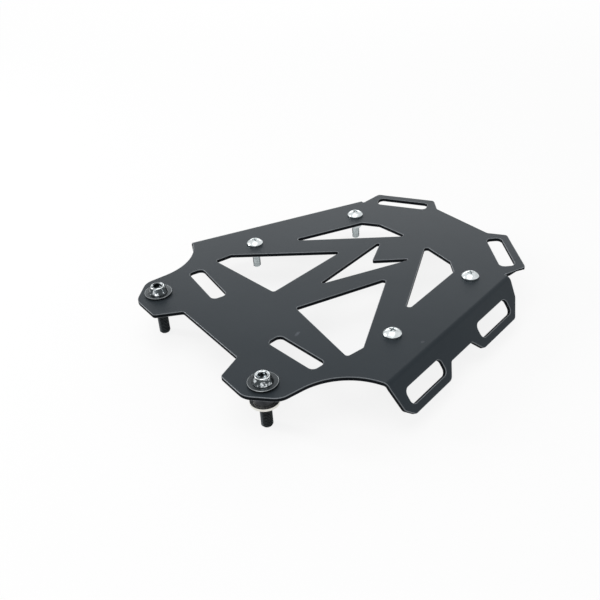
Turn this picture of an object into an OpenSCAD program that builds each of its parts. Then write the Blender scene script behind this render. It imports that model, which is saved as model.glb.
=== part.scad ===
// Luggage rack for the tail of a motorcycle: one folded steel sheet with its mounting bolts and
// deck screws. X runs across the machine with its left at +X, Y runs rearwards and Z up. The
// origin lies midway between the two mounting bolts, on the plane where their base washers seat.

/* [Sheet] */
// Thickness of the sheet
sheet_t = 3; // [2:0.5:4]
// Inside radius of the side folds
bend_r = 1.5; // [1:0.5:6]
// Angle that each side flange is folded down by
fold_angle = 56; // [45:1:75]

/* [Ears and front edge] */
// Mounting bolt to the mounting bolt on the other side
mount_spacing = 136; // [130:1:142]
// Mounting bolts forward to the front edge of the ears
ear_front = 16.5; // [14:0.5:20]
// Mounting bolt out to the outer side of its ear
ear_side = 19.5; // [16:0.5:24]
// Slanted outer front corner of an ear, across the rack
ear_bevel_w = 17; // [10:0.5:20]
// Slanted outer front corner of an ear, along the rack
ear_bevel_l = 16; // [10:0.5:20]
// Radius of the two corners of the slanted front corner of an ear
ear_bevel_r = 12; // [4:1:14]
// Radius of the corner between an ear's front edge and the recess
ear_inner_r = 3; // [1:0.5:6]
// Depth of the front recess behind the front edge of the ears
recess_depth = 18.5; // [12:0.5:24]
// Mounting bolt in to the side of the front recess at its floor
recess_side = 33; // [30:0.5:40]
// Radius of the corners of the front recess at its floor
recess_r = 2; // [1:0.5:6]
// Angle that each side of the front recess opens by
recess_flare = 28; // [10:1:35]
// Radius of the hollow curve from an ear out to the fold
shoulder_r = 43; // [30:1:44]
// Angle at which the hollow curve meets the fold
shoulder_angle = 25; // [18:1:28]

/* [Folds and flanges] */
// Middle of the rack to the fold at its front end
fold_half_w = 118.5; // [114:0.5:124]
// Mounting bolts back to the front end of the fold
fold_front = 57; // [54:0.5:62]
// Length of the fold
fold_l = 151; // [146:0.5:155]
// Angle that each fold tapers in by towards the rear
fold_taper = 13.8; // [12:0.2:15]
// Height of a flange, from the fold to its lower edge
flange_h = 27; // [25:0.5:34]
// Angle that the front end of a flange leans in by
flange_front_lean = 8; // [2:1:14]
// Angle that the rear end of a flange leans in by
flange_rear_lean = 19; // [8:1:24]
// Slanted front lower corner of a flange: along the fold, down the flange
flange_front_slant = [6, 6.5]; // [3:0.5:10]
// Slanted rear lower corner of a flange: along the fold, down the flange
flange_rear_slant = [7, 12]; // [4:0.5:14]
// Radius of the corners at both ends of a flange
flange_end_r = 4; // [1:0.5:6]
// Depth of the gap between the two tabs of a flange
gap_depth = 9.5; // [5:0.5:11]
// Length of the gap at its floor
gap_l = 26; // [20:1:30]
// Middle of the gap ahead of the middle of the fold
gap_ahead = 4; // [0:0.5:8]
// Angle between the side of the gap and the fold
gap_side = 51; // [45:1:80]
// Radius of the corners of the gap at its floor
gap_floor_r = 2; // [1:0.5:4]
// Radius of the corners of the tabs beside the gap
gap_mouth_r = 5; // [2:0.5:7]

/* [Rear edge] */
// Rear end of a fold, where its curve leaves the deck, back to the rear edge
rear_reach = 36.5; // [30:0.25:43]
// Width of the slanted edge that rises from the straight rear edge to a corner tab
rear_rise_w = 12.5; // [8:0.5:18]
// Angle at which the rear edge rises to a corner tab
rear_rise_angle = 34.5; // [25:0.5:45]
// Width of a corner tab across the rack, from its rear point to its outer end
tab_w = 41; // [36:0.5:46]
// Angle of a corner tab's outer edge across the rack
tab_angle = 32.5; // [28:0.5:38]
// Outer end of a corner tab beyond the rear end of the fold
tab_overhang = 1.3; // [0.4:0.1:6]
// Angle that the outer end of a corner tab leans in by towards the fold
tab_lean = 8; // [0:1:14]
// Radius of a corner tab's rear point
tab_point_r = 3; // [1:0.5:6]
// Radius of a corner tab's outer corner
tab_outer_r = 2.5; // [1:0.5:6]
// Radius where the rear edge turns into a corner tab
rear_rise_r = 3; // [1:0.5:6]
// Width of the relief cut between a corner tab and the fold
relief_w = 2; // [1:0.5:4]
// Reach of the relief cut, and of a fold's square ends, into the flat sheet beside it
fold_reach = 1; // [0.5:0.5:3]

/* [Slots] */
// Width of every slot
slot_w = 11.5; // [8:0.5:13]
// Radius of the four corners of every slot
slot_r = 4; // [1:0.5:4]
// Length of the front slots, end to end
front_slot_l = 44; // [30:1:48]
// Middle of a front slot in from the mounting bolt
front_slot_in = 12.5; // [8:0.5:20]
// Middle of a front slot forward of the front end of the fold
front_slot_ahead = 23; // [20:0.5:26]
// Angle of a front slot across the rack
front_slot_angle = 6.5; // [0:0.5:12]
// Rim between a corner tab's outer edge and its slot
tab_rim = 6; // [4:0.5:8]
// Rim between each end of a corner tab's outer edge and its slot's end
tab_end_rim = 3.3; // [2:0.1:8]
// Rim between a flange's lower edge and its slots
flange_rim = 5.5; // [4:0.5:7]
// Rim at each end of a flange's front slot
front_end_rim = 8.5; // [6:0.5:12]
// Rim at each end of a flange's rear slot
rear_end_rim = 11; // [8:0.5:14]

/* [Truss cut-outs] */
// Radius of the corners of the cut-outs
cut_r = 2; // [1:0.5:4]
// Radius of the corners of the middle cut-out
middle_cut_r = 1.2; // [0.5:0.1:2]
// Front cut-outs, inner front corner: across, back from the fold's front end
front_inner_at = [13.5, 7.3]; // [5:0.1:20]
// Front cut-outs, outer front corner: along the fold from its front end, in from the fold
front_outer_at = [8.1, 37.1]; // [5:0.1:45]
// Front cut-outs, corner where the outer edge turns inwards: along the fold, in from it
front_turn_at = [21.8, 34.3]; // [15:0.1:45]
// Front cut-outs, rear corner: across, behind the middle of the truss
front_rear_at = [26.5, 6.8]; // [4:0.1:32]
// Rear cut-outs, front corner: along the fold ahead of its middle, in from it
rear_front_at = [5.8, 35.2]; // [0:0.1:45]
// Rear cut-outs, outer rear corner: along the fold ahead of its rear end, in from it
rear_outer_at = [16.7, 35.5]; // [10:0.1:45]
// Rear cut-outs, slanted outer rear corner: across, along the rack
rear_slant = [12, 8.2]; // [4:0.1:16]
// Rear cut-outs, inner rear corner: across, ahead of the rear edge
rear_inner_at = [10.5, 49.6]; // [6:0.1:55]
// Middle cut-out, front point ahead of the middle of the truss
middle_front_ahead = 35.9; // [30:0.1:42]
// Middle cut-out, rear corners: out from the rear cut-outs' inner rear corners, ahead of them
middle_rear_at = [8.1, 19.5]; // [6:0.1:24]
// Middle cut-out, depth of the notch between its rear corners
middle_notch = 24.9; // [18:0.1:30]

/* [Mounting hardware] */
// Thread diameter of the mounting bolts
mount_d = 8; // [6:1:8]
// Diameter of the plain shank between a mounting bolt's head and its thread
mount_shank_d = 7.6; // [5.6:0.1:7.8]
// Length of a mounting bolt under its head
mount_l = 35; // [30:1:45]
// Diameter of a mounting bolt's head
mount_head_d = 14; // [12:0.5:16]
// Height of a mounting bolt's head
mount_head_h = 5; // [4:0.2:6]
// Diameter of the flat ring on top of a mounting bolt's head
mount_flat_d = 9.5; // [8:0.5:11]
// Height of the straight rim round a mounting bolt's head
mount_rim_h = 0.5; // [0.3:0.1:1.2]
// Width across the flats of the hex socket
socket_af = 6; // [4:0.5:6.5]
// Depth of the hex socket
socket_depth = 2.6; // [1.5:0.1:3]
// Outer diameter of the washers under the bolt heads
mount_washer_d = 20; // [17:0.5:22]
// Thickness of the washers under the bolt heads
mount_washer_t = 1.6; // [1:0.2:2]
// Outer diameter of the spacers
spacer_d = 15; // [12:0.5:18]
// Length of the spacers
spacer_l = 10; // [6:0.5:20]
// Outer diameter of the base washers
base_washer_d = 19.5; // [17:0.5:24]
// Thickness of the base washers
base_washer_t = 2; // [1:0.2:3]
// Clearance all round between a mounting bolt and the pieces on it
mount_clear = 0.25; // [0.1:0.05:0.5]

/* [Deck screws] */
// Thread diameter of the deck screws
screw_d = 6; // [4:1:6]
// Length of a deck screw under its head
screw_l = 20; // [16:1:30]
// Diameter of a deck screw's head
screw_head_d = 12.5; // [10:0.5:14]
// Height of a deck screw's head
screw_head_h = 4.4; // [3:0.2:5]
// Height of the straight rim round a deck screw's head
screw_rim_h = 1.4; // [0.8:0.2:1.8]
// Diameter of the flat spot on top of a deck screw's head
screw_flat_d = 1; // [1:0.5:3]
// Length of the cross recess
recess_l = 6.5; // [4:0.5:7.5]
// Width of the cross recess
recess_w = 1.5; // [0.8:0.1:1.8]
// Depth of the cross recess
recess_h = 2.2; // [1:0.1:2.6]
// Front deck screws: along the fold from its front end, in from the fold
front_screw_in = [44.3, 27.2]; // [20:0.1:60]
// Rear deck screws: along the fold ahead of its rear end, in from the fold
rear_screw_in = [16.4, 22]; // [12:0.1:30]
// Outer diameter of the washers under the deck
deck_washer_d = 12; // [11:0.5:16]
// Thickness of the washers under the deck
deck_washer_t = 1.6; // [1:0.2:2]
// Width across the flats of the deck nuts
nut_af = 10; // [9:0.5:11]
// Height of the deck nuts
nut_h = 5; // [3:0.5:6]
// Clearance all round between a deck screw and the pieces on it
screw_clear = 0.3; // [0.1:0.05:0.5]
// Length of the slanted tip of a bolt's or screw's thread
thread_tip = 0.8; // [0.4:0.1:1.5]

/* [Hidden] */
$fn = 64;

// Overrun of a cutting body past the face that it leaves by
over = 1;
// Angle that the curve of a fold shares with the flat sheet on either side
joint_angle = 10;
// Largest turn, and largest distance, between two points of a rounded outline corner
arc_step = 10;
arc_chord = 1.5;
// Steps from the rim of a domed head up to the flat on its top
dome_steps = 8;
half_turn = 180;
// Width across a hexagon's corners for each unit across its flats
hex_corners = 1 / cos(30);
// Share of a side of an outline that the arcs at its two ends may take
arc_share = 0.98;

// Heights of the deck
deck_low = base_washer_t + spacer_l;
deck_top = deck_low + sheet_t;

// Radius of the outer face of a fold, and the length that it takes off each flat beside it
fold_outer_r = bend_r + sheet_t;
fold_setback = fold_outer_r * tan(fold_angle / 2);

// Directions along and square to the left fold, and the points where its curve leaves the deck
along = [-sin(fold_taper), cos(fold_taper)];
square_out = [cos(fold_taper), sin(fold_taper)];
fold_start = [fold_half_w, fold_front];
deck_fold_front = fold_start - fold_setback * square_out;
deck_fold_rear = deck_fold_front + fold_l * along;
function from_fold(run, inset) = fold_start + run * along - inset * square_out;

// Points on the left half of the deck's outline
mount_x = mount_spacing / 2;
rear_edge = deck_fold_rear[1] + rear_reach;
tab_half_w = deck_fold_rear[0] + tab_overhang;
tab_point = tab_half_w - tab_w;
rear_edge_half_w = tab_point - rear_rise_w;
ear_half_w = mount_x + ear_side;
recess_half_w = mount_x - recess_side;
ear_y = -ear_front;
recess_y = ear_y + recess_depth;
recess_mouth = recess_half_w + recess_depth * tan(recess_flare);
shoulder_end = deck_fold_front - fold_reach * square_out;
shoulder_y = shoulder_end[1] - (shoulder_end[0] - ear_half_w) * tan(shoulder_angle);
tab_point_y = rear_edge + (tab_point - rear_edge_half_w) * tan(rear_rise_angle);
tab_outer_y = tab_point_y - (tab_half_w - tab_point) * tan(tab_angle);

// Size of the folded sheet before it is cut: across the fold, and along it from its front end
blank_w = fold_half_w + fold_front + ear_front;
blank_front = fold_front + ear_front;
blank_rear = rear_edge + fold_half_w;

// Relief cut: its two inner corners, and the point where it leaves by the corner tab's outer end
relief_front = deck_fold_rear - fold_reach * square_out;
relief_rear = relief_front + relief_w * along;
relief_mouth = relief_rear + square_out * (
    (tab_half_w - relief_rear[0]) * cos(tab_lean) - (tab_outer_y - relief_rear[1]) * sin(tab_lean)
) / cos(fold_taper + tab_lean);

// Middle of the left corner tab's slot: halfway along the tab's outer edge, then in from it
tab_slot_l = tab_w / cos(tab_angle) - 2 * tab_end_rim;
tab_slot_inset = tab_rim + slot_w / 2;
tab_slot_x = (tab_point + tab_half_w) / 2 - tab_slot_inset * sin(tab_angle);
tab_slot_y = (tab_point_y + tab_outer_y) / 2 - tab_slot_inset * cos(tab_angle);

// Middles of the left front slot and of the left deck screws
front_slot_at = [mount_x - front_slot_in, fold_front - front_slot_ahead];
front_screw_at = from_fold(front_screw_in[0], front_screw_in[1]);
rear_screw_at = from_fold(fold_l - rear_screw_in[0], rear_screw_in[1]);

// Corners of the truss cut-outs on the left
truss_middle = (fold_front + deck_fold_rear[1]) / 2;
front_cut_inner = [front_inner_at[0], fold_front + front_inner_at[1]];
front_cut_outer = from_fold(front_outer_at[0], front_outer_at[1]);
front_cut_turn = from_fold(front_turn_at[0], front_turn_at[1]);
front_cut_rear = [front_rear_at[0], truss_middle + front_rear_at[1]];
rear_cut_front = from_fold(fold_l / 2 - rear_front_at[0], rear_front_at[1]);
rear_cut_outer = from_fold(fold_l - rear_outer_at[0], rear_outer_at[1]);
rear_cut_turn = rear_cut_outer + [-rear_slant[0], rear_slant[1]];
rear_cut_inner = [rear_inner_at[0], rear_edge - rear_inner_at[1]];
middle_cut_front = [0, truss_middle - middle_front_ahead];
middle_cut_rear = rear_cut_inner + [middle_rear_at[0], -middle_rear_at[1]];
middle_cut_notch = [0, middle_cut_rear[1] - middle_notch];

// Points on a flange laid flat, measured along the fold from its front end
waste_top = fold_setback - over;
gap_start = fold_l / 2 - gap_ahead - gap_l / 2;
gap_end = gap_start + gap_l;
function lean_at(drop, angle) = (drop - fold_setback - fold_reach) * tan(angle);
function front_end_at(drop) = lean_at(drop, flange_front_lean);
function rear_end_at(drop) = fold_l - lean_at(drop, flange_rear_lean);

// Slots of a flange: its middle line, then each slot's front and rear end
flange_slot_drop = flange_h - flange_rim - slot_w / 2;
flange_slots = [
    [front_end_at(flange_slot_drop) + front_end_rim, gap_start - front_end_rim],
    [gap_end + rear_end_rim, rear_end_at(flange_slot_drop) - rear_end_rim]
];

// Stack of pieces on a mounting bolt, from its head down to the plane where the rack seats
mount_grip = deck_top + mount_washer_t;

// Corners of an outline are [x, y, radius], in order round it
function unit(v) = v / norm(v);
function on_arc(centre, r, angle) = centre + r * [cos(angle), sin(angle)];
function turn(u, v) = sign(u[0] * v[1] - u[1] * v[0]);
function point(path, i) = [path[i % len(path)][0], path[i % len(path)][1]];
function before(path, i) = i + len(path) - 1;

// Half the angle at a corner, and the length that its arc takes off the side on each hand
function half_angle(path, i) =
    let (
        u = unit(point(path, before(path, i)) - point(path, i)),
        v = unit(point(path, i + 1) - point(path, i))
    )
    acos(u * v) / 2;
function taken(path, i) = path[i % len(path)][2] / tan(half_angle(path, i));

// A corner's radius, or less where the side up to the corner j beside it is too short for both arcs
function fitted(path, i, j) =
    let (
        wished = taken(path, i) + taken(path, j),
        side = norm(point(path, j) - point(path, i)) * arc_share
    )
    path[i][2] * (wished > side ? side / wished : 1);
function corner(path, i) =
    path[i][2] == 0 ? [point(path, i)] :
    let (
        at = point(path, i),
        u = unit(point(path, before(path, i)) - at),
        v = unit(point(path, i + 1) - at),
        half = half_angle(path, i),
        r = min(fitted(path, i, before(path, i)), fitted(path, i, i + 1)),
        centre = at + unit(u + v) * r / sin(half),
        from = at + u * r / tan(half) - centre,
        start = atan2(from[1], from[0]),
        sweep = -turn(u, v) * (half_turn - 2 * half),
        steps = ceil(abs(sweep) / min(arc_step, arc_chord / r * half_turn / PI))
    )
    [for (k = [0 : steps]) on_arc(centre, r, start + sweep * k / steps)];
function rounded(path) = [for (i = [0 : len(path) - 1]) each corner(path, i)];

module slot(at, angle, length, width) {
    translate(at) rotate(angle) polygon(rounded([
        [-length / 2, -width / 2, slot_r],
        [length / 2, -width / 2, slot_r],
        [length / 2, width / 2, slot_r],
        [-length / 2, width / 2, slot_r]
    ]));
}

// Left half of the sheet's outline, which runs on past the flange where the fold is
module half_outline() {
    polygon(rounded([
        [0, recess_y, 0],
        [recess_half_w, recess_y, recess_r],
        [recess_mouth, ear_y, ear_inner_r],
        [ear_half_w - ear_bevel_w, ear_y, ear_bevel_r],
        [ear_half_w, ear_y + ear_bevel_l, ear_bevel_r],
        [ear_half_w, shoulder_y, shoulder_r],
        concat(shoulder_end, 0),
        concat(fold_start + flange_h * square_out, 0),
        concat(fold_start + fold_l * along + flange_h * square_out, 0),
        concat(relief_front, 0),
        concat(relief_rear, 0),
        concat(relief_mouth, 0),
        [tab_half_w, tab_outer_y, tab_outer_r],
        [tab_point, tab_point_y, tab_point_r],
        [rear_edge_half_w, rear_edge, rear_rise_r],
        [0, rear_edge, 0]
    ]));
}

module cut_out(corners, r) {
    polygon(rounded([for (at = corners) concat(at, r)]));
}

module middle_cut_out() {
    other_rear = [-middle_cut_rear[0], middle_cut_rear[1]];
    cut_out([middle_cut_front, middle_cut_rear, middle_cut_notch, other_rear], middle_cut_r);
}

module deck_cuts() {
    middle_cut_out();
    for (side = [0, 1]) mirror([side, 0]) {
        cut_out([front_cut_inner, front_cut_outer, front_cut_turn, front_cut_rear], cut_r);
        cut_out([rear_cut_front, rear_cut_outer, rear_cut_turn, rear_cut_inner], cut_r);
        slot(front_slot_at, front_slot_angle, front_slot_l, slot_w);
        slot([tab_slot_x, tab_slot_y], -tab_angle, tab_slot_l, slot_w);
        translate([mount_x, 0]) circle(d = mount_d + 2 * mount_clear);
        for (at = [front_screw_at, rear_screw_at]) translate(at) circle(d = screw_d + 2 * screw_clear);
    }
}

// Inside of a fold of radius r, with its centre at the origin and the deck to the left
module inside_fold(r) {
    far = r / cos(fold_angle / 2) + over;
    translate([-blank_w, 0]) square([blank_w, r]);
    rotate(-fold_angle) square([flange_h, r]);
    intersection() {
        circle(r);
        polygon([
            [0, 0],
            far * [-sin(joint_angle), cos(joint_angle)],
            far * [sin(fold_angle / 2), cos(fold_angle / 2)],
            far * [sin(fold_angle + joint_angle), cos(fold_angle + joint_angle)]
        ]);
    }
}

module fold_section() {
    difference() {
        inside_fold(fold_outer_r);
        inside_fold(bend_r);
    }
}

// Along the left fold: X runs rearwards on its sharp line, Y points outwards
module at_fold() {
    translate([fold_start[0], fold_start[1], deck_top])
        rotate(90 + fold_taper) mirror([0, 1, 0]) children();
}

// Folded sheet that the left half is cut from: it stays flat behind the relief cut, and the fold
// and the flat sheet overlap in the middle half of that cut
module folded_blank() {
    quarter = relief_w / 4;
    fold_end = fold_l + relief_w - quarter;
    flat_start = fold_l + quarter;
    at_fold() {
        translate([-blank_front, -fold_setback, -fold_outer_r]) rotate([90, 0, 90])
            linear_extrude(blank_front + fold_end) fold_section();
        translate([flat_start, -blank_w, -sheet_t])
            cube([blank_rear - flat_start, blank_w + flange_h, sheet_t]);
    }
}

// The flange lies flat here: X runs rearwards along the fold and Y down from the fold's sharp line
module flange_outline() {
    gap_floor = flange_h - gap_depth;
    gap_run = gap_depth / tan(gap_side);
    front_corner = flange_h - flange_front_slant[1];
    rear_corner = flange_h - flange_rear_slant[1];
    polygon(rounded([
        [front_end_at(waste_top), waste_top, 0],
        [front_end_at(front_corner), front_corner, flange_end_r],
        [front_end_at(flange_h) + flange_front_slant[0], flange_h, flange_end_r],
        [gap_start - gap_run, flange_h, gap_mouth_r],
        [gap_start, gap_floor, gap_floor_r],
        [gap_end, gap_floor, gap_floor_r],
        [gap_end + gap_run, flange_h, gap_mouth_r],
        [rear_end_at(flange_h) - flange_rear_slant[0], flange_h, flange_end_r],
        [rear_end_at(rear_corner), rear_corner, flange_end_r],
        [rear_end_at(waste_top), waste_top, 0]
    ]));
}

module flange_waste() {
    difference() {
        translate([-fold_l / 2, waste_top]) square([2 * fold_l, flange_h + 2 * over]);
        flange_outline();
    }
    for (ends = flange_slots)
        slot([(ends[0] + ends[1]) / 2, flange_slot_drop], 0, ends[1] - ends[0], slot_w);
}

module half_plate() {
    difference() {
        intersection() {
            folded_blank();
            translate([0, 0, -flange_h]) linear_extrude(deck_top + flange_h + over) half_outline();
        }
        at_fold() rotate([-fold_angle, 0, 0]) translate([0, 0, -sheet_t - over])
            linear_extrude(sheet_t + 2 * over) flange_waste();
    }
}

module rack_plate() {
    color("#3f454b") difference() {
        for (side = [0, 1]) mirror([side, 0, 0]) half_plate();
        translate([0, 0, deck_low - over]) linear_extrude(sheet_t + 2 * over) deck_cuts();
    }
}

module at_mount(side) {
    translate([side * mount_x, 0, 0]) children();
}

module at_screw(side, at) {
    translate([side * at[0], at[1], deck_top]) children();
}

module ring(outer_d, inner_d, h) {
    difference() {
        cylinder(d = outer_d, h = h);
        translate([0, 0, -over]) cylinder(d = inner_d, h = h + 2 * over);
    }
}

// Half section of a domed head that sits on z = 0, with a flat of radius flat_r on top
function dome(head_r, rim_h, head_h, flat_r) =
    let (
        centre_h = (head_h + rim_h) / 2 - (pow(head_r, 2) - pow(flat_r, 2)) / (2 * (head_h - rim_h)),
        sphere_r = norm([flat_r, head_h - centre_h]),
        rim_angle = atan2(rim_h - centre_h, head_r),
        sweep = atan2(head_h - centre_h, flat_r) - rim_angle
    )
    concat(
        [[head_r, 0]],
        [for (i = [0 : dome_steps])
            on_arc([0, centre_h], sphere_r, rim_angle + sweep * i / dome_steps)],
        [[0, head_h]]
    );

// Half section of what is under a head: a thread of radius r with a slanted tip, l below the head
function thread(r, l) = [[0, -l], [r - thread_tip, -l], [r, thread_tip - l]];

module mount_bolt(side) {
    color("#1b1c1e") at_mount(side) translate([0, 0, mount_grip]) difference() {
        rotate_extrude() polygon(concat(
            thread(mount_d / 2, mount_l),
            [[mount_d / 2, -mount_grip], [mount_shank_d / 2, -mount_grip], [mount_shank_d / 2, 0]],
            [[mount_head_d / 2, 0], [mount_head_d / 2, mount_rim_h]],
            [[mount_flat_d / 2, mount_head_h], [0, mount_head_h]]
        ));
        translate([0, 0, mount_head_h - socket_depth])
            cylinder(d = socket_af * hex_corners, h = socket_depth + over, $fn = 6);
    }
}

module mount_washer(side) {
    color("#222326") at_mount(side) translate([0, 0, deck_top])
        ring(mount_washer_d, mount_d + 2 * mount_clear, mount_washer_t);
}

module spacer(side) {
    color("#2b2d30") at_mount(side) translate([0, 0, base_washer_t])
        ring(spacer_d, mount_d + 2 * mount_clear, spacer_l);
}

module base_washer(side) {
    color("#d5d8da") at_mount(side) ring(base_washer_d, mount_d + 2 * mount_clear, base_washer_t);
}

module deck_screw(side, at) {
    color("#d5d8da") at_screw(side, at) difference() {
        rotate_extrude() polygon(concat(
            thread(screw_d / 2, screw_l),
            [[screw_d / 2, 0]],
            dome(screw_head_d / 2, screw_rim_h, screw_head_h, screw_flat_d / 2)
        ));
        for (spin = [0, 90]) rotate(spin)
            translate([-recess_l / 2, -recess_w / 2, screw_head_h - recess_h])
                cube([recess_l, recess_w, recess_h + over]);
    }
}

module deck_washer(side, at) {
    color("#c4c8cb") at_screw(side, at) translate([0, 0, -sheet_t - deck_washer_t])
        ring(deck_washer_d, screw_d + 2 * screw_clear, deck_washer_t);
}

module deck_nut(side, at) {
    color("#c4c8cb") at_screw(side, at) translate([0, 0, -sheet_t - deck_washer_t - nut_h]) difference() {
        cylinder(d = nut_af * hex_corners, h = nut_h, $fn = 6);
        translate([0, 0, -over]) cylinder(d = screw_d, h = nut_h + 2 * over);
    }
}

rack_plate();
mount_bolt(1);  // mount_bolt_left
mount_bolt(-1);  // mount_bolt_right
mount_washer(1);  // mount_washer_left
mount_washer(-1);  // mount_washer_right
spacer(1);  // spacer_left
spacer(-1);  // spacer_right
base_washer(1);  // base_washer_left
base_washer(-1);  // base_washer_right
deck_screw(1, front_screw_at);  // deck_screw_front_left
deck_screw(-1, front_screw_at);  // deck_screw_front_right
deck_screw(1, rear_screw_at);  // deck_screw_rear_left
deck_screw(-1, rear_screw_at);  // deck_screw_rear_right
deck_washer(1, front_screw_at);  // deck_washer_front_left
deck_washer(-1, front_screw_at);  // deck_washer_front_right
deck_washer(1, rear_screw_at);  // deck_washer_rear_left
deck_washer(-1, rear_screw_at);  // deck_washer_rear_right
deck_nut(1, front_screw_at);  // deck_nut_front_left
deck_nut(-1, front_screw_at);  // deck_nut_front_right
deck_nut(1, rear_screw_at);  // deck_nut_rear_left
deck_nut(-1, rear_screw_at);  // deck_nut_rear_right
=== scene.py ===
import logging
import math
from collections.abc import Iterable, Mapping, Sequence
from dataclasses import dataclass
from enum import Enum

import bmesh
import bpy
from mathutils import Matrix, Vector

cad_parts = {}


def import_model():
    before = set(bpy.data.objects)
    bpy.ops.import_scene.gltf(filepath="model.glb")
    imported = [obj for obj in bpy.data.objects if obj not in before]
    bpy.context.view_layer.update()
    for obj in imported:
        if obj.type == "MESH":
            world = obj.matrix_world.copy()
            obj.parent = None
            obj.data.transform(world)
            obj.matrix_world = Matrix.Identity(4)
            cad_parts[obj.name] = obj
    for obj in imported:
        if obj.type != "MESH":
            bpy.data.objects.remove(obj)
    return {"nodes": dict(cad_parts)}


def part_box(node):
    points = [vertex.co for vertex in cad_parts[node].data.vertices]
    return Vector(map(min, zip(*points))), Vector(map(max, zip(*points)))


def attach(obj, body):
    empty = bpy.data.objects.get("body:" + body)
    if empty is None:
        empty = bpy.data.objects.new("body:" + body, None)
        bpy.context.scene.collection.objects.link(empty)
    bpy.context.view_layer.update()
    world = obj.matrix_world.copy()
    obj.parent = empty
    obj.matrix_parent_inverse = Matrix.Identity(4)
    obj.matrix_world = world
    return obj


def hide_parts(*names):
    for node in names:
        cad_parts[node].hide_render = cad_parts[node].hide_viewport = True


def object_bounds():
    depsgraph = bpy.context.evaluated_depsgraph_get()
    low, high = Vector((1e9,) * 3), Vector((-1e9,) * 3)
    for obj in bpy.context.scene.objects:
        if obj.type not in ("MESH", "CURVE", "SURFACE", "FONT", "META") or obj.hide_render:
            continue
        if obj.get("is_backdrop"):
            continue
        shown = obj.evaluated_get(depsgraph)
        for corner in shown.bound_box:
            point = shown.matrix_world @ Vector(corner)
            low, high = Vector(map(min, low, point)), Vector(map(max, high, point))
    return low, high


log = logging.getLogger("luggage_rack")

MM = 0.001
BODY = "root"
# Material slot of rounded edges, where some pieces have a painted highlight.
EDGE_HIGHLIGHT_SLOT = 1
# Material slot of the sheet's cut walls, whose near-black coat is painted shade, and of a bolt's thread.
CUT_SHADE_OR_THREAD = 2
RIM_STEPS = 2
CREASE = math.radians(40)
HEAD_EDGE = math.radians(50)
HEX_HALF = math.radians(30)
SPOT_CORE = 0.35
THREAD_STEPS = 32
THREAD_DEPTH = 0.6
THREAD_CREST = 1 / 8
THREAD_ROOT = (7 / 16, 11 / 16)
Colour = tuple[float, float, float]


class Side(Enum):
    """The two sides of the rack, with the sign of X there."""

    LEFT = 1
    RIGHT = -1

    @property
    def word(self) -> str:
        """The side's name, as the nodes spell it."""
        return self.name.lower()


class Row(Enum):
    """The two rows of deck screws."""

    FRONT = "front"
    REAR = "rear"


class Wire:
    """A socket of a material's nodes that takes part in arithmetic."""

    def __init__(self, graph: "Graph", socket: bpy.types.NodeSocket) -> None:
        """Keeps the socket and the graph that its sums are drawn in.

        Args:
            graph: The graph that holds the socket.
            socket: An output socket.
        """
        self.graph = graph
        self.socket = socket

    def _maths(self, operation: str, *values: "Wire | float") -> "Wire":
        """Adds one Math node.

        Args:
            operation: The Math node's operation.
            values: Its inputs, in order.

        Returns:
            The node's result.
        """
        node = self.graph.node("ShaderNodeMath", {"operation": operation}, dict(enumerate(values)))
        return self.graph.wire(node)

    def __add__(self, other: "Wire | float") -> "Wire":
        """This value plus another."""
        return self._maths("ADD", self, other)

    __radd__ = __add__

    def __sub__(self, other: "Wire | float") -> "Wire":
        """This value less another."""
        return self._maths("SUBTRACT", self, other)

    def __rsub__(self, other: "Wire | float") -> "Wire":
        """Another value less this one."""
        return self._maths("SUBTRACT", other, self)

    def __mul__(self, other: "Wire | float") -> "Wire":
        """This value times another."""
        return self._maths("MULTIPLY", self, other)

    __rmul__ = __mul__

    def clamped(self) -> "Wire":
        """This value kept between 0 and 1."""
        return self._maths("MAXIMUM", self._maths("MINIMUM", self, 1.0), 0.0)

    def above(self, low: float, high: float) -> "Wire":
        """A smooth mask of this value.

        Args:
            low: The value where the mask is 0.
            high: The value where the mask is 1.

        Returns:
            The mask.
        """
        settings = {"interpolation_type": "SMOOTHSTEP"}
        values = {0: self, 1: low, 2: high, 3: 0.0, 4: 1.0}
        node = self.graph.node("ShaderNodeMapRange", settings, values)
        return self.graph.wire(node)


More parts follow.
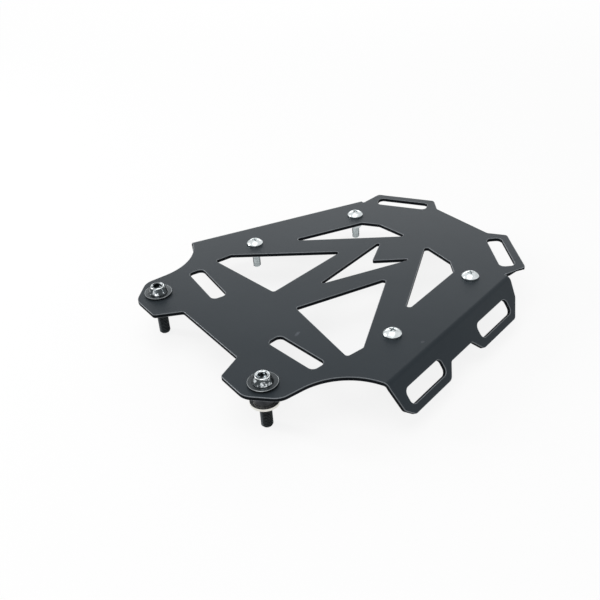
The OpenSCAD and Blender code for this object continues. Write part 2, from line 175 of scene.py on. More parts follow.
class Graph:
    """The node tree of a material or of the world."""

    def __init__(self, tree: bpy.types.NodeTree) -> None:
        """Empties the tree.

        Args:
            tree: The node tree to draw in.
        """
        self.tree = tree
        tree.nodes.clear()

    def node(
        self, kind: str, settings: Mapping[str, object], inputs: Mapping[int | str, object]
    ) -> bpy.types.Node:
        """Adds a node, with its settings made before its sockets are filled.

        Args:
            kind: The node's type.
            settings: Its properties by name.
            inputs: Values or wires by socket number or name.

        Returns:
            The new node.
        """
        node = self.tree.nodes.new(kind)
        for name, value in settings.items():
            setattr(node, name, value)
        for key, value in inputs.items():
            if isinstance(value, Wire):
                self.tree.links.new(value.socket, node.inputs[key])
            else:
                node.inputs[key].default_value = value
        return node

    def wire(self, node: bpy.types.Node, output: int | str = 0) -> Wire:
        """One output of a node, ready for arithmetic."""
        return Wire(self, node.outputs[output])

    def place(self) -> Wire:
        """The point on the piece, in metres."""
        return self.wire(self.node("ShaderNodeTexCoord", {}, {}), "Object")

    def mapped(self, centre: Sequence[float], turn: float, size: Sequence[float]) -> Wire:
        """The point measured from a centre, along turned axes, in units of a size.

        Args:
            centre: The centre, in metres.
            turn: Turn about Z, in radians.
            size: The length of one unit along each axis, in metres.

        Returns:
            The measured point.
        """
        settings = {"vector_type": "TEXTURE"}
        values = {"Vector": self.place(), "Location": centre, "Rotation": (0, 0, turn), "Scale": size}
        return self.wire(self.node("ShaderNodeMapping", settings, values))

    def noise(self, grain: float, detail: float) -> Wire:
        """Cloudy noise.

        Args:
            grain: The size of one cloud, in metres.
            detail: How many finer layers it has.

        Returns:
            The noise, from 0 to 1.
        """
        values = {"Vector": self.place(), "Scale": 1 / grain, "Detail": detail, "Roughness": 0.55}
        return self.wire(self.node("ShaderNodeTexNoise", {}, values))

    def spot(self, centre: Sequence[float], turn: float, size: Sequence[float]) -> Wire:
        """A soft oval mask.

        Args:
            centre: The oval's centre, in metres.
            turn: Its turn about Z, in radians.
            size: Its half lengths, in metres.

        Returns:
            1 in the middle, 0 outside.
        """
        point = self.mapped(centre, turn, size)
        length = self.node("ShaderNodeVectorMath", {"operation": "LENGTH"}, {0: point})
        return 1.0 - self.wire(length, "Value").above(SPOT_CORE, 1.0)

    def mix(self, share: Wire | float, first: Colour | Wire, second: Colour | Wire) -> Wire:
        """A blend of two colours.

        Args:
            share: How much of the second.
            first: The first colour.
            second: The second colour.

        Returns:
            The blended colour.
        """
        first, second = (c if isinstance(c, Wire) else (*c, 1.0) for c in (first, second))
        node = self.node("ShaderNodeMix", {"data_type": "RGBA"}, {0: share, 6: first, 7: second})
        return self.wire(node, 2)

    def bump(self, height: Wire, depth: float, under: Wire | None = None) -> Wire:
        """A bumpy normal.

        Args:
            height: The height, from 0 to 1.
            depth: The height that 1 stands for, in metres.
            under: A normal that this one is laid over.

        Returns:
            The normal.
        """
        values: dict[int | str, object] = {"Height": height, "Distance": depth, "Strength": 1.0}
        if under is not None:
            values["Normal"] = under
        return self.wire(self.node("ShaderNodeBump", {}, values))


def new_material(name: str) -> tuple[bpy.types.Material, Graph]:
    """Makes an empty material.

    Args:
        name: The material's name.

    Returns:
        The material and its graph.
    """
    material = bpy.data.materials.new(name)
    material.use_nodes = True
    return material, Graph(material.node_tree)


def closed_surface(graph: Graph, inputs: Mapping[int | str, object]) -> None:
    """Ends a material in one shader.

    Args:
        graph: The material's graph.
        inputs: The shader's values or wires, by socket name.
    """
    shader = graph.node("ShaderNodeBsdfPrincipled", {}, inputs)
    graph.node("ShaderNodeOutputMaterial", {}, {"Surface": graph.wire(shader)})


@dataclass(frozen=True)
class Scuff:
    """A small pale rub mark in the coat, an oval that covers its place by a share."""

    centre: tuple[float, float, float]
    half_size: tuple[float, float, float]
    turn: float
    share: float


@dataclass(frozen=True)
class PowderCoat:
    """Satin black powder coat with a fine dry grain."""

    name: str = "satin_powder_coat"
    slot: str = "plate"
    colour: Colour = (0.012, 0.0152, 0.0185)
    pale: Colour = (0.015, 0.0187, 0.0225)
    sheen: Colour = (0.66, 0.86, 1.0)
    rub_and_rim_highlight: Colour = (0.16, 0.17, 0.2)
    roughness: float = 0.44
    gloss: float = 0.21
    grain: float = 0.45 * MM
    grain_depth: float = 0.008 * MM
    ripple: float = 2.2 * MM
    ripple_depth: float = 0.012 * MM
    cloud: float = 55 * MM
    cloud_mask: tuple[float, float] = (0.25, 0.75)
    scratch_grain: float = 0.35 * MM
    scratch_mask: tuple[float, float] = (0.35, 0.6)
    grain_spread: float = 0.1
    rubbed_spread: float = 0.06
    scuffs: tuple[Scuff, ...] = (
        Scuff((39.8 * MM, 46.6 * MM, 15 * MM), (3.8 * MM, 1.6 * MM, 4 * MM), math.radians(114), 0.45),
        Scuff((100.5 * MM, 102.5 * MM, 15 * MM), (2 * MM, 1.5 * MM, 4 * MM), math.radians(100), 0.25),
    )

    def material(self) -> bpy.types.Material:
        """Builds the coat's material.

        Returns:
            The material.
        """
        material, graph = new_material(self.name)
        cloud = graph.noise(self.cloud, 3.0)
        fine = graph.noise(self.grain, 2.0)
        ripple = graph.noise(self.ripple, 1.0)
        colour = graph.mix(cloud.above(*self.cloud_mask), self.colour, self.pale)
        scratch = graph.noise(self.scratch_grain, 1.0).above(*self.scratch_mask)
        rubs = [s.share * graph.spot(s.centre, s.turn, s.half_size) for s in self.scuffs]
        rub = (sum(rubs[1:], rubs[0]) * scratch).clamped()
        normal = graph.bump(ripple, self.ripple_depth)
        roughness = self.roughness + self.grain_spread * (fine - 0.5) + self.rubbed_spread * rub
        closed_surface(
            graph,
            {
                "Base Color": graph.mix(rub, colour, self.rub_and_rim_highlight),
                "Roughness": roughness,
                "Normal": graph.bump(fine, self.grain_depth, normal),
                "Specular IOR Level": self.gloss,
                "Specular Tint": (*self.sheen, 1.0),
            },
        )
        return material


@dataclass(frozen=True)
class PlatedSteel:
    """Steel with a thin bright or dark plating, in cloudy patches of a second colour: a stain on some
    pieces, a painted reflection on the bolt heads.
    """

    name: str
    slot: str
    colour: Colour
    stain_and_reflection: Colour
    roughness: float
    cloud: float = 3 * MM
    cloud_spread: float = 0.08
    patch: tuple[float, float] = (0.3, 0.75)
    grain: float = 0.25 * MM
    grain_depth: float = 0.002 * MM
    grain_spread: float = 0.06

    def material(self) -> bpy.types.Material:
        """Builds the plating's material.

        Returns:
            The material.
        """
        material, graph = new_material(self.name)
        # Cloudy patches of the second colour: stains on some platings, painted reflections on the bolt
        # heads.
        cloud = graph.noise(self.cloud, 3.0).above(*self.patch)
        fine = graph.noise(self.grain, 2.0)
        spread = self.cloud_spread * (cloud - 0.5) + self.grain_spread * (fine - 0.5)
        closed_surface(
            graph,
            {
                "Base Color": graph.mix(cloud, self.colour, self.stain_and_reflection),
                "Metallic": 1.0,
                "Roughness": self.roughness + spread,
                "Normal": graph.bump(fine, self.grain_depth),
            },
        )
        return material


COAT = PowderCoat()
# Rounded sheet edges: a thinner coat, with a lighter colour and pale patches that are partly a painted
# highlight line and painted glints.
COAT_EDGE = PowderCoat(
    "thin_edge_coat_painted_highlight",
    colour=(0.022, 0.027, 0.032),
    pale=(0.09, 0.1, 0.11),
    sheen=(0.9, 0.95, 1.0),
    roughness=0.36,
    gloss=1.0,
)
# Near-black coat for the cut walls: painted shade, far darker than the coat's own colour.
COAT_WALL_SHADE = PowderCoat(
    "painted_shade_wall_coat",
    colour=(0.004, 0.005, 0.006),
    pale=(0.005, 0.006, 0.0075),
    roughness=0.6,
    gloss=0.04,
)
# Zinc: darker cloudy patches, partly passivation stains and partly painted reflections.
ZINC = PlatedSteel("bright_zinc", "deck_screw", (0.68, 0.72, 0.73), (0.52, 0.56, 0.565), 0.26)
BASE_ZINC = PlatedSteel("warm_zinc", "base_washer", (0.80, 0.79, 0.74), (0.70, 0.69, 0.64), 0.32)
# Bolt heads: dark chrome whose crisp pale patches are painted reflections.
BLACK = PlatedSteel(
    "black_chrome_painted_reflections",
    "mount_bolt",
    (0.05, 0.058, 0.062),
    (0.62, 0.66, 0.68),
    0.16,
    cloud=4 * MM,
    patch=(0.5, 0.6),
)
DULL_BLACK = PlatedSteel(
    "black_chromate", "mount_washer", (0.06, 0.068, 0.072), (0.045, 0.05, 0.054), 0.3
)
# Washer rims: pale chromate on the rounded edges, a painted highlight ring.
WASHER_RIM_HIGHLIGHT = PlatedSteel(
    "chromate_painted_rim_highlight", "mount_washer", (0.34, 0.36, 0.37), (0.1, 0.11, 0.115), 0.24, cloud=6 * MM
)
# Bright steel on the bolt heads' rounded edges: a painted highlight ring.
BOLT_EDGE_HIGHLIGHT = PlatedSteel(
    "steel_painted_edge_highlight", "mount_bolt", (0.72, 0.76, 0.77), (0.3, 0.32, 0.33), 0.2, patch=(0.4, 0.7)
)
PHOSPHATE = PlatedSteel(
    "dark_phosphate", "spacer", (0.06, 0.062, 0.067), (0.04, 0.042, 0.046), 0.48, grain_depth=0.004 * MM
)


def smooth_with_creases(bm: bmesh.types.BMesh) -> None:
    """Shades a body smooth apart from its sharp edges.

    Args:
        bm: The body.
    """
    for face in bm.faces:
        face.smooth = True
    for edge in bm.edges:
        edge.smooth = not (edge.is_manifold and edge.calc_face_angle() > CREASE)


def rounded(
    bm: bmesh.types.BMesh, edges: Sequence[bmesh.types.BMEdge], radius: float, segments: int, clamp: bool
) -> None:
    """Rounds some edges of a body and marks the new faces for the rounded-edge material, which paints a
    highlight on some pieces.

    Args:
        bm: The body.
        edges: The edges.
        radius: The width taken off each face beside an edge, in metres.
        segments: The steps across a rounded edge.
        clamp: Whether the width gives way where faces are narrow.
    """
    new = bmesh.ops.bevel(
        bm,
        geom=edges,
        offset=radius,
        offset_type="OFFSET",
        segments=segments,
        profile=0.5,
        affect="EDGES",
        clamp_overlap=clamp,
        material=-1,
    )
    for face in new["faces"]:
        face.material_index = EDGE_HIGHLIGHT_SLOT


def softened(
    bm: bmesh.types.BMesh, radius: float, segments: int, least: float = math.radians(28)
) -> None:
    """Rounds each sharp edge of a body and marks its rounded faces for the rounded-edge material, which
    paints a highlight on some pieces.

    Args:
        bm: The body.
        radius: The width taken off each face beside an edge, in metres.
        segments: The steps across a rounded edge.
        least: The least angle of an edge that is rounded, in radians.
    """
    edges = [e for e in bm.edges if e.is_manifold and e.calc_face_angle() > least]
    rounded(bm, edges, radius, segments, clamp=True)


def turned(
    profile: Sequence[tuple[float, float]], steps: int, closed: bool = False
) -> bmesh.types.BMesh:
    """Turns a half section about Z.

    Args:
        profile: Points (radius, height), in metres.
        steps: The steps in a full turn.
        closed: Whether the last point joins the first, as on a ring.

    Returns:
        The turned body.
    """
    bm = bmesh.new()
    verts = [bm.verts.new((r, 0, z)) for r, z in profile]
    ends = verts[1:] + verts[:1] if closed else verts[1:]
    edges = [bm.edges.new(pair) for pair in zip(verts, ends)]
    bmesh.ops.spin(
        bm,
        geom=verts + edges,
        cent=(0, 0, 0),
        axis=(0, 0, 1),
        angle=math.tau,
        steps=steps,
        use_merge=True,
    )
    bmesh.ops.remove_doubles(bm, verts=bm.verts[:], dist=0.001 * MM)
    bmesh.ops.recalc_face_normals(bm, faces=bm.faces[:])
    return bm


def ring(node: str, hole_r: float, edge_r: float, steps: int) -> bmesh.types.BMesh:
    """Turns a washer or spacer of a CAD node's own size, with rounded edges.

    Args:
        node: The CAD node.
        hole_r: The radius of the hole.
        edge_r: The width of the rounded edges.
        steps: The steps in a full turn.

    Returns:
        The ring, with its lower face at z = 0.
    """
    low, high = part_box(node)
    outer, tall = (high.x - low.x) / 2, high.z - low.z
    section = [(hole_r, 0.0), (outer, 0.0), (outer, tall), (hole_r, tall)]
    bm = turned(section, steps, closed=True)
    softened(bm, edge_r, RIM_STEPS)
    return bm


def cut_flat(bm: bmesh.types.BMesh, point: Sequence[float], outwards: Sequence[float]) -> None:
    """Cuts a body off at a plane and closes the cut.

    Args:
        bm: The body.
        point: A point on the plane.
        outwards: The plane's normal, towards what is cut off.
    """
    geom = bm.verts[:] + bm.edges[:] + bm.faces[:]
    cut = bmesh.ops.bisect_plane(
        bm, geom=geom, dist=0.0001 * MM, plane_co=point, plane_no=outwards, clear_outer=True
    )
    rim = [g for g in cut["geom_cut"] if isinstance(g, bmesh.types.BMEdge) and g.is_boundary]
    bmesh.ops.holes_fill(bm, edges=rim, sides=0)


def threaded(radius: float, pitch: float, low: float, high: float, tip: float) -> bmesh.types.BMesh:
    """A helical thread about Z, with a slanted tip at its low end.

    Args:
        radius: The radius of the crests.
        pitch: The rise in one turn.
        low: The height of the tip.
        high: The height where the thread ends.
        tip: The length of the slanted tip.

    Returns:
        The threaded rod.
    """
    root = radius - THREAD_DEPTH * pitch
    bm = bmesh.new()
    points: list[tuple[float, float]] = []
    for k in range(math.ceil((high - low) / pitch) + 2):
        base = low + (k - 1) * pitch
        points += [(radius, base), (radius, base + pitch * THREAD_CREST)]
        points += [(root, base + pitch * share) for share in THREAD_ROOT]
    verts = [bm.verts.new((r, 0, z)) for r, z in points]
    edges = [bm.edges.new(pair) for pair in zip(verts, verts[1:])]
    bmesh.ops.spin(
        bm,
        geom=verts + edges,
        cent=(0, 0, 0),
        axis=(0, 0, 1),
        dvec=(0, 0, pitch / THREAD_STEPS),
        angle=math.tau,
        steps=THREAD_STEPS,
        use_merge=False,
    )
    bmesh.ops.remove_doubles(bm, verts=bm.verts[:], dist=0.002 * MM)
    cut_flat(bm, (0, 0, low), (0, 0, -1))
    cut_flat(bm, (0, 0, high), (0, 0, 1))
    for vert in bm.verts:
        reach = math.hypot(vert.co.x, vert.co.y)
        most = radius - tip + max(0.0, vert.co.z - low)
        if reach > most:
            vert.co.x *= most / reach
            vert.co.y *= most / reach
    bmesh.ops.recalc_face_normals(bm, faces=bm.faces[:])
    return bm


def dome(
    rim_r: float, rim_h: float, head_h: float, flat_r: float, steps: int
) -> list[tuple[float, float]]:
    """The half section of a domed head, from its underside up to the flat on top.

    Args:
        rim_r: The radius of the rim.
        rim_h: The height of the straight rim.
        head_h: The height of the head.
        flat_r: The radius of the flat on top.
        steps: The steps up the dome.

    Returns:
        Points (radius, height) that end on the edge of the flat.
    """
    centre_h = (head_h + rim_h) / 2 - (rim_r**2 - flat_r**2) / (2 * (head_h - rim_h))
    sphere_r = math.hypot(flat_r, head_h - centre_h)
    start = math.atan2(rim_h - centre_h, rim_r)
    sweep = math.atan2(head_h - centre_h, flat_r) - start
    angles = [start + sweep * i / steps for i in range(steps + 1)]
    curve = [(sphere_r * math.cos(a), centre_h + sphere_r * math.sin(a)) for a in angles]
    return [(rim_r, 0.0), *curve]


def join(bm: bmesh.types.BMesh, other: bmesh.types.BMesh) -> None:
    """Adds another body's mesh to a body, and frees the other.

    Args:
        bm: The body that grows.
        other: The body that is added.
    """
    mesh = bpy.data.meshes.new("joined")
    other.to_mesh(mesh)
    other.free()
    bm.from_mesh(mesh)
    bpy.data.meshes.remove(mesh)


def carve(bm: bmesh.types.BMesh, tool: bmesh.types.BMesh) -> None:
    """Cuts a tool's form out of a body, and frees the tool.

    Args:
        bm: The body.
        tool: The form that is cut away.
    """
    objects = []
    for name, form in (("carved", bm), ("tool", tool)):
        mesh = bpy.data.meshes.new(name)
        form.to_mesh(mesh)
        objects.append(bpy.data.objects.new(name, mesh))
        bpy.context.scene.collection.objects.link(objects[-1])
    body, cutter = objects
    modifier = body.modifiers.new("cut", "BOOLEAN")
    modifier.operation = "DIFFERENCE"
    modifier.solver = "EXACT"
    modifier.object = cutter
    graph = bpy.context.evaluated_depsgraph_get()
    result = bpy.data.meshes.new_from_object(body.evaluated_get(graph))
    bm.clear()
    bm.from_mesh(result)
    tool.free()
    for mesh in (result, body.data, cutter.data):
        bpy.data.meshes.remove(mesh)


def finished(
    bm: bmesh.types.BMesh,
    node: str,
    materials: Sequence[bpy.types.Material],
    at: Sequence[float] = (0, 0, 0),
) -> bpy.types.Object:
    """Makes a body the visible piece for a CAD node.

    Args:
        bm: The body, which is freed.
        node: The CAD node that it stands for.
        materials: The piece's material, then those of its rounded edges, which paint a highlight on some
            pieces, and of its cut faces, painted in shade on the sheet, or of its thread, where they
            have their own.
        at: Where the body's own origin goes, in metres.

    Returns:
        The new object.
    """
    bmesh.ops.transform(bm, matrix=Matrix.Translation(at), verts=bm.verts[:])
    smooth_with_creases(bm)
    for face in bm.faces:
        face.material_index = min(face.material_index, len(materials) - 1)
    mesh = bpy.data.meshes.new(f"{node}_finished")
    bm.to_mesh(mesh)
    bm.free()
    for material in materials:
        mesh.materials.append(material)
    piece = bpy.data.objects.new(f"{node}_finished", mesh)
    bpy.context.scene.collection.objects.link(piece)
    normals = piece.modifiers.new("even shading", "WEIGHTED_NORMAL")
    normals.mode = "FACE_AREA"
    normals.weight = 100
    normals.keep_sharp = True
    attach(piece, BODY)
    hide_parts(node)
    log.info("%s: %d faces, %s", piece.name, len(mesh.polygons), materials[0].name)
    return piece


def middle(node: str) -> Vector:
    """The middle of a CAD node's box, seen from above, at the height of its lowest face."""
    low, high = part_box(node)
    return Vector(((low.x + high.x) / 2, (low.y + high.y) / 2, low.z))


@dataclass
class RackPlate:
    """The folded sheet: deck, ears, corner tabs and side flanges in one piece."""

    coat: PowderCoat = COAT
    edge_coat: PowderCoat = COAT_EDGE
    wall_shade: PowderCoat = COAT_WALL_SHADE
    node: str = "rack_plate"
    fold_taper: float = math.radians(13.8)
    edge_r: float = 0.45 * MM
    edge_steps: int = 3
    weld: float = 0.002 * MM
    flat_angle: float = math.radians(0.4)
    cut_angle: float = math.radians(38)
    level: float = 0.99
    slant: float = 0.05

    def is_wall(self, face: bmesh.types.BMFace) -> bool:
        """Tells a cut wall from the sheet's two skins.

        A skin is flat, or turns down and outwards about the fold, so its normal's parts upwards and
        outwards have the same sign.

        Args:
            face: A face of the sheet.

        Returns:
            Whether the face is a cut wall.
        """
        if abs(face.normal.z) > self.level:
            return False
        side = math.copysign(1.0, face.calc_center_median().x)
        out = Vector((side * math.cos(self.fold_taper), math.sin(self.fold_taper), 0))
        along = Vector((-side * math.sin(self.fold_taper), math.cos(self.fold_taper), 0))
        if abs(face.normal @ along) > self.slant:
            return True
        return face.normal.z * (face.normal @ out) < self.slant

    def body(self, source: bpy.types.Object) -> bmesh.types.BMesh:
        """Welds the CAD sheet's triangles into flat faces and rounds its cut edges.

        Args:
            source: The CAD node's object.

        Returns:
            The finished sheet.
        """
        bm = bmesh.new()
        bm.from_mesh(source.data)
        bmesh.ops.remove_doubles(bm, verts=bm.verts[:], dist=self.weld)
        bmesh.ops.dissolve_limit(bm, angle_limit=self.flat_angle, verts=bm.verts[:], edges=bm.edges[:])
        bm.normal_update()
        for face in bm.faces:
            # Cut walls take the near-black coat, which paints their shade.
            face.material_index = CUT_SHADE_OR_THREAD if self.is_wall(face) else 0
        edges = [e for e in bm.edges if e.is_manifold and e.calc_face_angle() > self.cut_angle]
        # The rounded edges take the lighter edge coat, partly a painted highlight line.
        rounded(bm, edges, self.edge_r, self.edge_steps, clamp=False)
        return bm

    def build(self, source: bpy.types.Object) -> bpy.types.Object:
        """Makes the visible sheet.

        Args:
            source: The CAD node's object.

        Returns:
            The sheet.
        """
        materials = [coat.material() for coat in (self.coat, self.edge_coat, self.wall_shade)]
        return finished(self.body(source), self.node, materials)


@dataclass
class MountStack:
    """A mounting bolt with its washer, spacer and base washer."""

    side: Side
    black: bpy.types.Material
    edge_highlight: bpy.types.Material
    dull: bpy.types.Material
    rub_and_rim_highlight: bpy.types.Material
    dark: bpy.types.Material
    zinc: bpy.types.Material
    pitch: float = 1.25 * MM
    thread_r: float = 4 * MM
    thread_tip: float = 0.8 * MM
    shank_r: float = 3.8 * MM
    hole_r: float = 4.25 * MM
    rim_h: float = 0.5 * MM
    flat_r: float = 4.75 * MM
    socket_af: float = 6 * MM
    socket_depth: float = 2.6 * MM
    socket_chamfer: float = 0.25 * MM
    socket_cone: float = 0.5 * MM
    edge_r: float = 0.4 * MM
    edge_steps: int = 3
    near: float = 0.1 * MM
    steps: int = 72

    def head(self, rim_r: float, head_h: float, grip: float) -> bmesh.types.BMesh:
        """Turns the head and shank and shapes the socket to a hexagon.

        Args:
            rim_r: The radius of the head.
            head_h: The height of the head.
            grip: The length of the shank below the head.

        Returns:
            The head and shank, with the head's underside at z = 0.
        """
        corner_r = self.socket_af / 2 / math.cos(HEX_HALF)
        floor = head_h - self.socket_depth
        shaped = floor - self.socket_cone / 2
        profile = [(0.0, -grip), (self.shank_r, -grip), (self.shank_r, 0.0)]
        profile += [(rim_r, 0.0), (rim_r, self.rim_h), (self.flat_r, head_h)]
        profile += [
            (corner_r + self.socket_chamfer, head_h),
            (corner_r, head_h - self.socket_chamfer),
            (corner_r, floor),
            (0.0, floor - self.socket_cone),
        ]
        bm = turned(profile, self.steps)
        for vert in bm.verts:
            reach = math.hypot(vert.co.x, vert.co.y)
            if shaped < vert.co.z < head_h and abs(reach - corner_r) < self.near:
                angle = math.atan2(vert.co.y, vert.co.x) % (2 * HEX_HALF) - HEX_HALF
                scale = math.cos(HEX_HALF) / math.cos(angle)
                vert.co.x *= scale
                vert.co.y *= scale
        edges = [e for e in bm.edges if e.is_manifold and e.calc_face_angle() > HEAD_EDGE]
        inner_r = self.flat_r - self.near
        outer = [e for e in edges if min(v.co.xy.length for v in e.verts) > inner_r]
        rounded(bm, outer, self.edge_r, self.edge_steps, clamp=True)
        return bm

    def build(self) -> list[bpy.types.Object]:
        """Makes the bolt and the pieces on it.

        Returns:
            The four pieces.
        """
        word = self.side.word
        bolt = f"mount_bolt_{word}"
        low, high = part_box(bolt)
        at = middle(bolt)
        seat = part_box(f"mount_washer_{word}")[1].z
        bm = self.head((high.x - low.x) / 2, high.z - seat, seat)
        rod = threaded(self.thread_r, self.pitch, low.z - seat, -seat, self.thread_tip)
        for face in rod.faces:
            face.material_index = CUT_SHADE_OR_THREAD
        join(bm, rod)
        # The head's rounded edges take bright steel, a painted highlight; its pale patches are painted
        # reflections.
        materials = (self.black, self.edge_highlight, self.dull)
        pieces = [finished(bm, bolt, materials, (at.x, at.y, seat))]
        # The mount washer's rounded rim takes pale chromate, a painted highlight.
        kinds = {
            "mount_washer": (self.dull, self.rub_and_rim_highlight),
            "spacer": (self.dark,),
            "base_washer": (self.zinc,),
        }
        for kind, materials in kinds.items():
            node = f"{kind}_{word}"
            bm = ring(node, self.hole_r, self.edge_r, self.steps)
            pieces.append(finished(bm, node, materials, middle(node)))
        return pieces


@dataclass
class DeckFastener:
    """A deck screw with the washer and nut that hold it under the deck."""

    side: Side
    row: Row
    zinc: bpy.types.Material
    pitch: float = 1 * MM
    thread_r: float = 3 * MM
    thread_tip: float = 0.8 * MM
    hole_r: float = 3.3 * MM
    rim_h: float = 1.4 * MM
    flat_r: float = 0.5 * MM
    dome_steps: int = 10
    overlap: float = 0.1 * MM
    recess_l: float = 6.5 * MM
    recess_w: float = 1.5 * MM
    recess_h: float = 2.2 * MM
    recess_taper: float = 0.55
    recess_turn: float = math.radians(20)
    rear_turn: float = math.radians(35)
    nut_face: float = 0.95
    nut_lip: float = 0.4 * MM
    nut_chamfer: float = math.radians(30)
    edge_r: float = 0.25 * MM
    steps: int = 48

    def recess_bar(self, head_h: float, turn: float) -> bmesh.types.BMesh:
        """One bar of the cross recess, narrower at its floor.

        Args:
            head_h: The height of the head.
            turn: The bar's turn about Z, in radians.

        Returns:
            The bar.
        """
        bm = bmesh.new()
        bmesh.ops.create_cube(bm, size=1.0)
        bmesh.ops.scale(bm, vec=(self.recess_l, self.recess_w, 2 * self.recess_h), verts=bm.verts[:])
        floor = [v for v in bm.verts if v.co.z < 0]
        bmesh.ops.scale(bm, vec=(self.recess_taper, self.recess_taper, 1), verts=floor)
        bmesh.ops.translate(bm, vec=(0, 0, head_h), verts=bm.verts[:])
        bmesh.ops.rotate(bm, cent=(0, 0, 0), matrix=Matrix.Rotation(turn, 3, "Z"), verts=bm.verts[:])
        return bm

    def screw(self, rim_r: float, head_h: float, tip: float) -> bmesh.types.BMesh:
        """Makes the domed screw.

        Args:
            rim_r: The radius of the head.
            head_h: The height of the head.
            tip: The height of the tip, below the head's underside.

        Returns:
            The screw, with the head's underside at z = 0.
        """
        curve = dome(rim_r, self.rim_h, head_h, self.flat_r, self.dome_steps)
        bm = turned([(0.0, 0.0), *curve, (0.0, head_h)], self.steps)
        softened(bm, self.edge_r, RIM_STEPS, HEAD_EDGE)
        turn = self.recess_turn * self.side.value
        if self.row is Row.REAR:
            turn += self.rear_turn
        for quarter in (0.0, math.pi / 2):
            carve(bm, self.recess_bar(head_h, turn + quarter))
        join(bm, threaded(self.thread_r, self.pitch, tip, self.overlap, self.thread_tip))
        return bm

    def nut(self, node: str) -> bmesh.types.BMesh:
        """Turns a nut's blank with its slanted rims, then cuts its six flats.

        Args:
            node: The CAD node, whose height the nut takes.

        Returns:
            The nut, with its lower face at z = 0.
        """
        low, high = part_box(node)
        tall = high.z - low.z
        half_af = min(high.x - low.x, high.y - low.y) / 2
        corner_r = half_af / math.cos(HEX_HALF)
        face_r = self.nut_face * half_af
        drop = (corner_r - face_r) * math.tan(self.nut_chamfer)
        mouth_r = self.thread_r + self.nut_lip
        profile = [
            (self.thread_r, self.nut_lip),
            (mouth_r, 0.0),
            (face_r, 0.0),
            (corner_r, drop),
            (corner_r, tall - drop),
            (face_r, tall),
            (mouth_r, tall),
            (self.thread_r, tall - self.nut_lip),
        ]
        bm = turned(profile, self.steps, closed=True)
        for k in range(6):
            angle = (2 * k + 1) * HEX_HALF
            outwards = Vector((math.cos(angle), math.sin(angle), 0))
            cut_flat(bm, outwards * half_af, outwards)
        bmesh.ops.recalc_face_normals(bm, faces=bm.faces[:])
        return bm

    def build(self, deck_top: float) -> list[bpy.types.Object]:
        """Makes the screw, washer and nut.

        Args:
            deck_top: The height of the deck's upper face.

        Returns:
            The three pieces.
        """
        place = f"{self.row.value}_{self.side.word}"
        screw, washer, nut = (f"{kind}_{place}" for kind in ("deck_screw", "deck_washer", "deck_nut"))
        low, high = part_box(screw)
        at = middle(screw)
        bm = self.screw((high.x - low.x) / 2, high.z - deck_top, low.z - deck_top)
        flat = ring(washer, self.hole_r, self.edge_r, self.steps)
        return [
            finished(bm, screw, (self.zinc,), (at.x, at.y, deck_top)),
            finished(flat, washer, (self.zinc,), middle(washer)),
            finished(self.nut(nut), nut, (self.zinc,), middle(nut)),
        ]


@dataclass(frozen=True)
class Softbox:
    """A wide soft lamp that faces a point."""

    name: str
    place: tuple[float, float, float]
    size: tuple[float, float]
    power: float
    aim: tuple[float, float, float] = (0.0, 0.11, 0.0)

    def build(self) -> bpy.types.Object:
        """Makes the lamp.

        Returns:
            The lamp's object.
        """
        lamp = bpy.data.lights.new(self.name, "AREA")
        lamp.shape = "RECTANGLE"
        lamp.size, lamp.size_y = self.size
        lamp.energy = self.power
        holder = bpy.data.objects.new(self.name, lamp)
        holder.location = self.place
        ahead = Vector(self.aim) - Vector(self.place)
        holder.rotation_euler = ahead.to_track_quat("-Z", "Y").to_euler()
        holder.visible_camera = False
        bpy.context.scene.collection.objects.link(holder)
        return holder


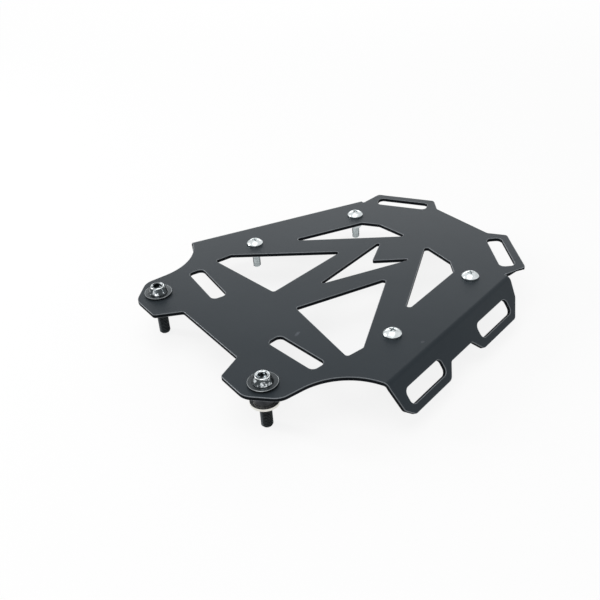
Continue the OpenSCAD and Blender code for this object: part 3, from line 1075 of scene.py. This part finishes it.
@dataclass
class Studio:
    """The camera, the pale floor, the lamps and the world round the rack."""

    eye: tuple[float, float, float] = (415.2 * MM, -202.2 * MM, 334.5 * MM)
    right: tuple[float, float, float] = (0.58985, 0.80525, -0.0603)
    down: tuple[float, float, float] = (0.41085, -0.36356, -0.83608)
    ahead: tuple[float, float, float] = (-0.69518, 0.46839, -0.54528)
    lens: float = 49.87
    sensor: float = 36.0
    clip: tuple[float, float] = (0.01, 50.0)
    floor_half: float = 4.0
    floor_drop: float = 0.2 * MM
    floor_colour: Colour = (0.9, 0.9, 0.9)
    floor_glow: float = 0.84
    floor_fade: tuple[float, float] = (0.5, 1.6)
    ambient: float = 0.5
    boxes: tuple[Softbox, ...] = (
        Softbox("rear_softbox", (-1.04, 0.92, 0.48), (1.4, 0.6), 4.0),
        Softbox("top_softbox", (0.1, -0.1, 1.3), (1.0, 1.0), 5.5),
        Softbox("front_softbox", (0.9, -0.9, 0.9), (0.8, 0.6), 2.3),
        Softbox("left_strip", (0.5, -0.9, 0.41), (0.1, 0.22), 0.5),
        Softbox("right_strip", (0.89, 0.81, 0.41), (0.16, 0.16), 0.5),
        Softbox("side_strip", (-0.83, -0.61, 0.48), (0.25, 0.5), 5.0),
    )

    def camera(self) -> bpy.types.Object:
        """Makes the camera where the photograph was taken from.

        Returns:
            The camera.
        """
        data = bpy.data.cameras.new("camera")
        data.lens = self.lens
        data.sensor_width = self.sensor
        data.clip_start, data.clip_end = self.clip
        turn = Matrix((self.right, -Vector(self.down), -Vector(self.ahead))).transposed()
        camera = bpy.data.objects.new("camera", data)
        camera.matrix_world = Matrix.Translation(self.eye) @ turn.to_4x4()
        bpy.context.scene.collection.objects.link(camera)
        bpy.context.scene.camera = camera
        return camera

    def background_share(self, graph: Graph) -> Wire:
        """Tells the rays that see the background, from the camera or through a gloss.

        Args:
            graph: The graph of the floor or the world.

        Returns:
            1 for such rays, 0 for the others.
        """
        path = graph.node("ShaderNodeLightPath", {}, {})
        kinds = ("Is Camera Ray", "Is Glossy Ray", "Is Transmission Ray")
        seen = [graph.wire(path, kind) for kind in kinds]
        return (seen[0] + seen[1] + seen[2]).clamped()

    def floor(self, height: float) -> bpy.types.Object:
        """Makes the pale floor.

        Args:
            height: The height that the floor lies at.

        Returns:
            The floor.
        """
        bm = bmesh.new()
        bmesh.ops.create_grid(bm, x_segments=1, y_segments=1, size=self.floor_half)
        bmesh.ops.translate(bm, vec=(0, 0, height), verts=bm.verts[:])
        mesh = bpy.data.meshes.new("floor")
        bm.to_mesh(mesh)
        bm.free()
        material, graph = new_material("pale_floor")
        matt = graph.node("ShaderNodeBsdfDiffuse", {}, {"Color": (*self.floor_colour, 1.0)})
        glow = graph.node("ShaderNodeEmission", {}, {"Color": (1, 1, 1, 1), "Strength": 1.0})
        reach = graph.node("ShaderNodeVectorMath", {"operation": "LENGTH"}, {0: graph.place()})
        far = graph.wire(reach, "Value").above(*self.floor_fade)
        share = self.background_share(graph) * (self.floor_glow + (1 - self.floor_glow) * far)
        shaders = {0: share, 1: graph.wire(matt), 2: graph.wire(glow)}
        mixed = graph.node("ShaderNodeMixShader", {}, shaders)
        graph.node("ShaderNodeOutputMaterial", {}, {"Surface": graph.wire(mixed)})
        mesh.materials.append(material)
        floor = bpy.data.objects.new("floor", mesh)
        bpy.context.scene.collection.objects.link(floor)
        floor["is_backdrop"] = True
        return floor

    def world(self) -> None:
        """Surrounds the rack with even pale light."""
        world = bpy.data.worlds.new("studio")
        world.use_nodes = True
        graph = Graph(world.node_tree)
        seen = self.background_share(graph)
        strength = self.ambient + (1 - self.ambient) * seen
        light = graph.node("ShaderNodeBackground", {}, {"Color": (1, 1, 1, 1), "Strength": strength})
        graph.node("ShaderNodeOutputWorld", {}, {"Surface": graph.wire(light)})
        bpy.context.scene.world = world

    def build(self, floor_height: float) -> None:
        """Makes the whole studio.

        Args:
            floor_height: The height of the lowest point of the rack.
        """
        self.camera()
        self.floor(floor_height - self.floor_drop)
        self.world()
        for box in self.boxes:
            box.build()
        view = bpy.context.scene.view_settings
        view.view_transform = "Standard"


def plain(corners: Iterable[Vector]) -> list[list[float]]:
    """Corners of a box as plain lists of numbers."""
    return [list(corner) for corner in corners]


def main() -> None:
    """Builds the studio and every piece of the rack."""
    logging.basicConfig(level=logging.INFO, format="%(name)s: %(message)s")
    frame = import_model()
    cad_box = plain(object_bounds())
    Studio().build(cad_box[0][2])

    RackPlate().build(frame["nodes"]["rack_plate"])
    stack = [finish.material() for finish in (BLACK, BOLT_EDGE_HIGHLIGHT, DULL_BLACK, WASHER_RIM_HIGHLIGHT, PHOSPHATE, BASE_ZINC)]
    zinc = ZINC.material()
    deck_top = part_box("rack_plate")[1].z
    for side in Side:
        MountStack(side, *stack).build()
        for row in Row:
            DeckFastener(side, row, zinc).build(deck_top)


if __name__ == "__main__":
    main()
